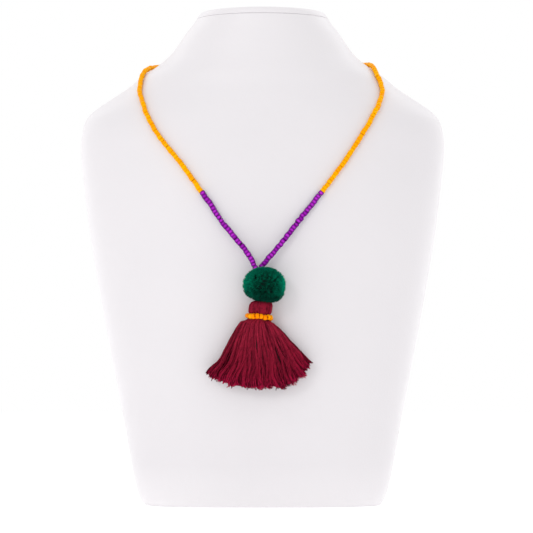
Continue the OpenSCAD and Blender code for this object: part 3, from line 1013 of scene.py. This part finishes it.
rises = np.radians(np.linspace(-90, 90, HEART_LEVELS + 1)[1:-1])
pole = np.array([0, 0, HEART_SHARE * pompom_half[2]])
heart_rings = [heart_ring(rise) for rise in rises]
pompom = skin("pompom_yarn", heart_rings, pompom_centre - pole, pompom_centre + pole)
grow(pompom, clip_yarn, centre=tuple(pompom_centre * MM), spacing=0.00082, fibres=17,
     grow=YARN_REACH / HEART_SHARE - 1, lean=0.2, spread=0.28, fibre=0.00012, bend=0.0003, seed=5,
     yarn=yarn, heart=heart)
dress(pompom, None, "green_yarn", "pompom")

# %% [markdown]
# The tassel is a skein of threads doubled over a tie. Its threads fall from the waist, bunch into locks
# and spread over the chest. Each thread is a line of points, and one tree sweeps a small round section
# along every line. It stores how far round the thread and how far along it each point is, so that the
# material can draw the twist of the plies.

# %% A tree that sweeps threads
THREAD_SIDES = 4


def thread_tree():
    net, start = start_tree("sweep_threads", Width=0.0005, Cotton=None)
    line = net.add("GeometryNodeMeshToCurve", {0: start})
    marked = net.store(line, "run", net.add("GeometryNodeSplineParameter").also("Length"))
    wire = net.add("GeometryNodeCurvePrimitiveCircle", {"Resolution": THREAD_SIDES})
    wire = net.store(wire, "side", net.add("GeometryNodeInputPosition"), kind="FLOAT_VECTOR")
    scale = net.stored("thick") * start.also("Width") * 0.5
    return end_tree(net, net.paint(net.sweep(marked, wire, Scale=scale), "Cotton"))


sweep_threads = thread_tree()
print("thread tree of", len(sweep_threads.nodes), "nodes")

# %% [markdown]
# The skirt follows the part's rows: how wide and how deep it is at each share of its length, how far it
# lies to one side, and how far its corners lift. Any point in it has three coordinates: the angle round
# it, the share of the way out from its middle, and the share of the way down.

# %% Shape of the skirt
SKIRT_LENGTH, SKIRT_WIDTH, SKIRT_DEPTH = 46.0, 70.0, 16.0
WAIST_RADIUS = 5.6
SKIRT_ROWS = np.array([
    # down, wide, deep, aside
    [-0.12, 0.160, 0.70, 0], [0.00, 0.160, 0.70, -0.01],
    [0.02, 0.262, 0.84, -0.037], [0.05, 0.310, 0.88, -0.037], [0.12, 0.371, 0.95, -0.035],
    [0.22, 0.448, 0.99, -0.034], [0.34, 0.525, 1.00, -0.030], [0.47, 0.603, 0.99, -0.018],
    [0.60, 0.696, 0.98, -0.009], [0.72, 0.782, 0.96, -0.004], [0.84, 0.883, 0.93, -0.020],
    [0.94, 0.950, 0.89, -0.014], [1.00, 0.980, 0.84, 0.005],
    [1.10, 1.060, 0.80, 0.02],
])
LEFT_LIFT, RIGHT_LIFT = 0.195, 0.37
LEFT_POWER, RIGHT_POWER = 2.6, 4
LOCKS, LOCK_RELIEF, LOCK_SWAY = 21, 0.10, 8
TIP_FLARE = 0.03
collar_x, collar_y, collar_z = collar_centre
skirt_top = collar_z - BEAD_WIDTH / 2 - GAP
skirt_drop = SKIRT_LENGTH - (collar_z - skirt_top)
free_back = COLLAR_RADIUS + BEAD_WIDTH / 2 - WAIST_RADIUS


def near_tip(down, parts):
    """0 down to the last of so many parts of the length, then up to 1 at its end and on."""
    return np.clip(parts * down - (parts - 1), 0, None)


def skirt_sizes(down):
    """Half the skirt's width, half its depth and its shift to the right, at a share of its length."""
    wide, deep, aside = smooth(SKIRT_ROWS, down)
    return SKIRT_WIDTH / 2 * wide, SKIRT_DEPTH / 2 * deep, SKIRT_WIDTH / 2 * aside


def lock(turn, share):
    """How far in the surface lies between two locks."""
    phase = np.radians(LOCKS * turn + LOCK_SWAY * np.sin(np.radians(3 * turn + 40)))
    return 1 - share * LOCK_RELIEF * (0.5 - 0.5 * np.cos(phase))


def skirt_point(turn, share, down):
    """A point inside the skirt: angle round it, share of the way out, share of its length."""
    turn, share, down = np.broadcast_arrays(turn, share, down)
    deep_down = np.clip(down, 0, None)
    wide, deep, shift = skirt_sizes(down)
    q = np.cos(np.radians(turn))
    out = share * lock(turn, 0.4 + 0.6 * deep_down) * (1 + TIP_FLARE * near_tip(down, 5))
    aside = np.minimum(1, np.abs(q * out))
    up = np.where(q < 0, LEFT_LIFT * aside**LEFT_POWER, RIGHT_LIFT * aside**RIGHT_POWER)
    z = skirt_top - skirt_drop * down
    z += SKIRT_LENGTH * deep_down * up
    z -= wide * q * share * math.tan(tilt) * np.clip(1 - down / 0.33, 0, 1)
    level = np.clip(skirt_top - skirt_drop * down, 0, None)
    y = chest_y(level) - GAP - deep - free_back * np.clip(1 - deep_down / 0.35, 0, None) ** 2
    x = collar_x + shift + out * wide * q
    return np.stack([x, y + out * deep * np.sin(np.radians(turn)), z], axis=-1)


print("skirt from", round(skirt_top, 1), "down", round(skirt_drop, 1), "mm")

# %% [markdown]
# Cotton thread has two plies that wind round each other and a dull shine. Painted shade darkens the
# crease between the plies and the ropes sunk in the folds near the waist. The cut tips are painted
# with stronger light and shade.


# %% Cotton
TWIST = 2600
PLY_HEIGHT = 0.00006
TONE_WAVES, SHADE_WAVES = 900, 420
SHADE_DEPTH = 1.3
COTTON_TOP = (0.08, 0.002, 0.010), (0.56, 0.028, 0.070)
COTTON_LOW = (0.05, 0.001, 0.006), (0.43, 0.010, 0.046)
COTTON_TIP = (0.03, 0.001, 0.004), (0.64, 0.011, 0.082)
COTTON_CREASE_SHADE = (0.05, 0.0, 0.006)
COTTON_CORE_SHADE = (0.02, 0.0, 0.003), (0.06, 0.002, 0.01)


def red_cotton(net):
    tone, down, run = numbers(net, "tone", "down", "run")
    across = net.split(net.add("ShaderNodeAttribute", out="Vector", attribute_name="side"))
    wind = run * TWIST
    ply = (across * wind.math("COSINE") + across.also("Y") * wind.math("SINE")) ** 2
    spot = net.join(X=tone * TONE_WAVES, Y=run * SHADE_WAVES)
    shade = tone * 0.62 + (noise(net, spot, 1, detail=1) - 0.5) * SHADE_DEPTH + 0.19
    length = net.blend(down, net.blend(shade, *COTTON_TOP), net.blend(shade, *COTTON_LOW))
    # painted light and shade give the cut tips stronger contrast
    body = net.blend(down ** 12, length, net.blend(shade * 2.4 - 0.7, *COTTON_TIP))
    return {
        # painted shade in the crease between the two plies
        "Base Color": net.blend(0.55 + 0.45 * ply, COTTON_CREASE_SHADE, body),
        "Roughness": 0.7,
        "Normal": bump(net, ply, PLY_HEIGHT),
        "Specular IOR Level": 0.05,
    }


def dark_cotton(net):
    # The core is painted nearly black, as shade between the threads
    strands = noise(net, net.place(1800, 1800, 60), 1, detail=3)
    return {"Base Color": net.blend(strands, *COTTON_CORE_SHADE), "Roughness": 0.85}


cotton = finish("red_cotton", red_cotton)
core_cotton = finish("dark_cotton", dark_cotton)

# %% [markdown]
# First a core painted dark, as shade, fills the middle of the head and the skirt, so that no light
# shows through.

# %% Tassel core
HEAD_WIDTH, HEAD_LENGTH = 15.2, 10.8
HEAD_ROWS = np.array([
    # down, wide
    [0.00, 0.30], [0.05, 0.64], [0.13, 0.85], [0.26, 0.97], [0.46, 1.00], [0.68, 0.99], [0.77, 0.93],
    [0.88, 0.80], [1.00, 0.737], [1.12, 0.737],
])
HEAD_ASIDE = 0.097
HEAD_SHIFT = 0.4
head_x = STRANDS_X + HEAD_ASIDE * HEAD_WIDTH + HEAD_SHIFT
head_top = box_mm("tassel")[1][2]
CORE_SHARE = 0.78
CORE_END = 0.9
CORE_SIDES = 42
CORE_LEVELS, HEAD_LEVELS = 20, 14


def head_point(turn, share, down):
    """A point of the tied head: angle round it, share of the way out, share of its length."""
    turn, share, down = np.broadcast_arrays(turn, share, down)
    radius = HEAD_WIDTH / 2 * smooth(HEAD_ROWS, down)[0] * share
    middle = head_x + (collar_x - head_x) * np.clip(down, 0, 1)
    x = radius * np.cos(np.radians(turn))
    z = head_top - HEAD_LENGTH * down - x * math.tan(tilt) * np.clip(down, 0, 1) ** 2
    return np.stack([middle + x, collar_y + radius * np.sin(np.radians(turn)), z], axis=-1)


core_turns = np.arange(CORE_SIDES) / CORE_SIDES * 360
core_rings = []
for down in np.linspace(CORE_END, 0.0, CORE_LEVELS):
    share = CORE_SHARE * min(1, 0.7 + 1.5 * (CORE_END - down))
    core_rings.append(skirt_point(core_turns, share, down))
for down in np.linspace(0.95, 0.03, HEAD_LEVELS):
    core_rings.append(head_point(core_turns, CORE_SHARE, down))
core = skin("tassel_core", core_rings, core_rings[0].mean(axis=0), core_rings[-1].mean(axis=0))
dress(core, core_cotton, "red_thread", "tassel")

# %% [markdown]
# The threads are wound into ropes that lie side by side over the core. Slow waves bend each rope, and
# every third one sinks in between its neighbours. Near the tips the ropes open, and their threads curl
# and end at different lengths. Everything random comes from one seed.

# %% Ropes of the skirt
ROPES = 64
ROPE_THREADS = 18
THREAD_POINTS = 20
THREAD_WIDTH = 0.6
THREAD_TOP = -0.05
ROPE_END, ROPE_END_WANDER, THREAD_END_WANDER = 1.02, 0.014, 0.024
ROPE_RADIUS = 0.35
ROPE_GROWTH = 0.8
ROPE_OPENS = 0.5
ROPE_TWIST, ROPE_TWIST_WANDER = 0.8, 0.4
ROPE_SWAY = 0.75
ROPE_DEPTH = 0.6
SINK_EVERY = 3
SUNK = 0.8
SUNK_DOWN, SUNK_SHARE = [0, 0.06, 0.3, 0.7, 1], [0, 1, 0.8, 0.3, 0]
RIPPLE = 0.16
CURL = 0.6
CORNER_POWER = 4
CORNER_SHORTER = 0.02
CORNER_DROOP = 1.6
THICK_DOWN, THICK = [-0.05, 0.15, 0.9, 1.0], [0.7, 0.9, 1.0, 0.85]
# How much tones differ between pairs of ropes, between ropes and between threads
PAIR_TONES, ROPE_TONES, THREAD_TONES = 0.16, 0.12, 0.22
SUNK_PAINTED_SHADE = 0.3
# The lowest and the highest of what is drawn for each rope or thread
ROPE_PLACES = (-0.3, 0.3)
ROPE_SINKS = (0.4, 1.2)
ROPE_WAVES = (0.7, 2.4)
THREAD_WAVES = (3, 6)
THREAD_PLACES = (0.3, 1)
THREAD_WIDTHS = (0.85, 1.15)
rng = np.random.default_rng(12)


def falling(end, count):
    """Shares of the skirt's length at the points of threads, from under the beads to each one's end."""
    return THREAD_TOP + (end - THREAD_TOP) * np.linspace(0, 1, count)


def frame_round(turn, down):
    """Directions round the skirt and out of it at points of a rope."""
    wide, deep, shift = skirt_sizes(down)
    out = np.stack([np.cos(np.radians(turn)) * deep, np.sin(np.radians(turn)) * wide, 0 * down], axis=-1)
    out /= np.linalg.norm(out, axis=-1, keepdims=True)
    return np.stack([-out[..., 1], out[..., 0], out[..., 2]], axis=-1), out


def skirt_threads():
    """Lines of points from the waist to the tips, wound into ropes that lie side by side."""
    rope = np.arange(ROPES * ROPE_THREADS) % ROPES
    count = len(rope)
    one = lambda values: values[rope][:, None]
    shares = (np.arange(ROPES) + rng.uniform(*ROPE_PLACES, ROPES)) / ROPES
    rope_turn = even_turns(shares, lambda turn: skirt_point(turn, 1, 0.6), 3600)
    phase = rng.uniform(0, TURN, (ROPES, 3))
    corner = np.clip(np.cos(np.radians(rope_turn)), 0, 1)[rope] ** CORNER_POWER
    end = ROPE_END + rng.normal(0, ROPE_END_WANDER, ROPES)[rope] * (1 - corner) - CORNER_SHORTER * corner
    end = end - np.abs(rng.normal(0, THREAD_END_WANDER, count)) * (1 - 0.6 * corner)
    down = falling(end[:, None], THREAD_POINTS)
    low = np.clip(down, 0, 1)
    turn = one(rope_turn) + 0 * down
    along, out = frame_round(turn, down)
    radius = ROPE_RADIUS + ROPE_GROWTH * low * (1 + 0.6 * corner[:, None])
    radius = radius + ROPE_OPENS * near_tip(down, 6) ** 2
    sinks = (np.arange(ROPES) % SINK_EVERY == 0) * rng.uniform(*ROPE_SINKS, ROPES)
    sunk = SUNK * one(sinks) * np.interp(down, SUNK_DOWN, SUNK_SHARE)
    swing = one(rng.uniform(*ROPE_WAVES, ROPES)) * TURN * low
    aside = ROPE_SWAY * np.clip(1.6 * low, 0, 1) * np.sin(swing + one(phase[:, 0]))
    inward = radius + sunk + ROPE_DEPTH * low * (1 + np.sin(0.7 * swing + one(phase[:, 1])))
    wind_start = rng.uniform(0, TURN, (count, 1))
    wind = wind_start + one(rng.normal(ROPE_TWIST, ROPE_TWIST_WANDER, ROPES)) * TURN * low
    offset = radius * np.sqrt(rng.uniform(*THREAD_PLACES, (count, 1)))
    aside = aside + offset * np.cos(wind)
    inward = inward - offset * np.sin(wind)
    points = skirt_point(turn, 1, down) + along * aside[..., None] - out * inward[..., None]
    wave = rng.uniform(*THREAD_WAVES, (count, 1)) * TURN * down + one(phase[:, 2])
    ripple = RIPPLE * np.clip(4 * down, 0, 1) * np.sin(wave)
    curl = CURL * near_tip(down, 14)
    front = np.abs(np.sin(np.radians(turn)))
    points[..., 0] += ripple + curl * (0.4 + 0.6 * front) * rng.normal(0, 1, down.shape)
    points[..., 1] -= curl * rng.uniform(0, 1.5, (count, 1))
    points[..., 2] += curl * rng.normal(0.2, 0.6, down.shape)
    points[..., 2] -= CORNER_DROOP * corner[:, None] * near_tip(down, 4)
    bunch = np.repeat(rng.normal(0, PAIR_TONES, ROPES // 2), 2) + rng.normal(0, ROPE_TONES, ROPES)
    tone = np.clip(0.5 + bunch[rope] + rng.normal(0, THREAD_TONES, count), 0, 1)[:, None]
    # painted shade: ropes sunk between their neighbours get a darker tone
    tone = tone - SUNK_PAINTED_SHADE * sunk
    thick = np.interp(down, THICK_DOWN, THICK) * rng.uniform(*THREAD_WIDTHS, (count, 1))
    return points, {"tone": tone, "down": low, "thick": thick}


def lay(name, lines, width):
    """Makes a piece of the tassel from lines of points and the numbers stored on them."""
    points, numbers = lines
    threads = grow(paths(name, points, **numbers), sweep_threads, width=width * MM, cotton=cotton)
    dress(threads, None, "red_thread", "tassel")


lay("tassel_skirt", skirt_threads(), THREAD_WIDTH)

# %% [markdown]
# Between the ropes and the core lie loose threads, which show at the tips and close every gap. Turning
# by the golden angle from each to the next spreads them evenly.

# %% Filling of the skirt
FILLING = 500
FILLING_POINTS = 9
FILLING_PLACES = (0.3, 0.8)
FILLING_END, FILLING_END_WANDER = 1.0, 0.03
FILLING_SWAY = 0.6
FILLING_TONES = (0.0, 0.8)
GOLDEN = 137.50776


def filling_threads(count):
    """Slightly wavy threads at many depths under the ropes."""
    turn = (np.arange(count) * GOLDEN)[:, None]
    share = np.sqrt(rng.uniform(*FILLING_PLACES, (count, 1)))
    end = FILLING_END - np.abs(rng.normal(0, FILLING_END_WANDER, (count, 1)))
    down = falling(end, FILLING_POINTS)
    points = skirt_point(turn, share, down)
    low = np.clip(down, 0, 1)
    points[..., 0] += FILLING_SWAY * low * np.sin(TURN * down + rng.uniform(0, TURN, (count, 1)))
    return points, {"tone": rng.uniform(*FILLING_TONES, (count, 1)), "down": low, "thick": 1}


lay("tassel_filling", filling_threads(FILLING), THREAD_WIDTH)

# %% [markdown]
# Over the head the same threads run from the tie at the top, round the bulge and in under the beads.

# %% Threads of the head
HEAD_THREADS = 104
HEAD_THREAD_WIDTH = 0.74
HEAD_POINTS = 18
HEAD_START, HEAD_RUN, HEAD_CROWDING = 0.01, 1.09, 1.15
HEAD_SLANT, HEAD_SLANT_WANDER = 3, 2.5
HEAD_SHARE, HEAD_SHARES = 0.98, (-0.025, 0.015)
HEAD_TONE, HEAD_TONES = 0.6, 0.3
HEAD_THICK_DOWN, HEAD_THICK = [0, 0.1, 0.3, 1.1], [0.5, 0.75, 1, 0.9]


def head_threads(count):
    """Lines of points over the bulge of the head."""
    turn = (np.arange(count) + rng.uniform(-0.2, 0.2, count)) / count * 360
    step = np.linspace(0.0, 1.0, HEAD_POINTS)[None, :]
    down = HEAD_START + HEAD_RUN * step**HEAD_CROWDING
    slant = rng.normal(0, HEAD_SLANT_WANDER, (count, 1))
    slant += HEAD_SLANT * np.sin(3 * TURN * turn[:, None] / 360)
    share = HEAD_SHARE + rng.uniform(*HEAD_SHARES, (count, 1))
    points = head_point(turn[:, None] + slant * step, share, down)
    tone = np.clip(rng.normal(HEAD_TONE, HEAD_TONES, count), 0, 1)[:, None]
    thick = np.interp(down, HEAD_THICK_DOWN, HEAD_THICK)
    return points, {"tone": tone, "down": 0.35 * np.sin(math.pi * np.clip(down, 0, 1)), "thick": thick}


lay("tassel_head", head_threads(HEAD_THREADS), HEAD_THREAD_WIDTH)

# %% [markdown]
# The clasp behind the neck is a small screw barrel of plated brass. Its shape is in the part already, so
# it only needs a satin metal, with fine turning marks round it and a little tarnish.


# %% Clasp
def plated_brass(net):
    marks = noise(net, net.place(9000, 60, 60), 1, detail=3)
    cloud = noise(net, net.place(), 700, detail=3)
    return {
        "Base Color": net.blend(cloud, (0.55, 0.5, 0.42), (0.78, 0.75, 0.69)),
        "Metallic": 1.0,
        "Roughness": 0.24 + 0.18 * marks,
        "Normal": bump(net, marks, 0.00001),
    }


wear(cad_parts["clasp"], finish("plated_brass", plated_brass))
